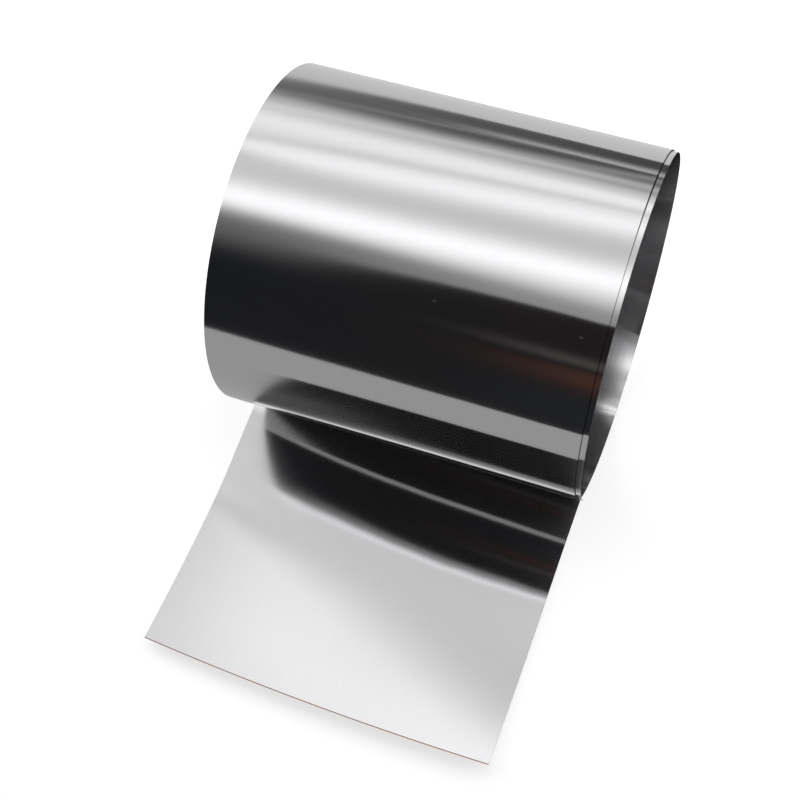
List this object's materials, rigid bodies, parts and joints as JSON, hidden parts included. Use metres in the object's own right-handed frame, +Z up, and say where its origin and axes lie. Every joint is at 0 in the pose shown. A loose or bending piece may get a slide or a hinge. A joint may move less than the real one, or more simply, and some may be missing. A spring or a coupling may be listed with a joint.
{
  "type": "coil of stainless steel shim strip",
  "caption": "Open coil of thin bright-rolled stainless shim strip lying on its side, its free end unrolled flat with a slight upward curl.",
  "frame": {"origin": "middle of the footprint, on the surface the coil lies on", "axes": "+X along the coil's axis, towards the end where the inner turns stand out; the free end points to -Y; +Z up"},
  "size_m": [0.1556, 0.2396, 0.143],
  "materials": {
    "steel": "bright cold-rolled, near mirror, fine lines along the strip"
  },
  "bodies": {
    "root": {"shim_strip": "steel"}
  },
  "joints": []
}
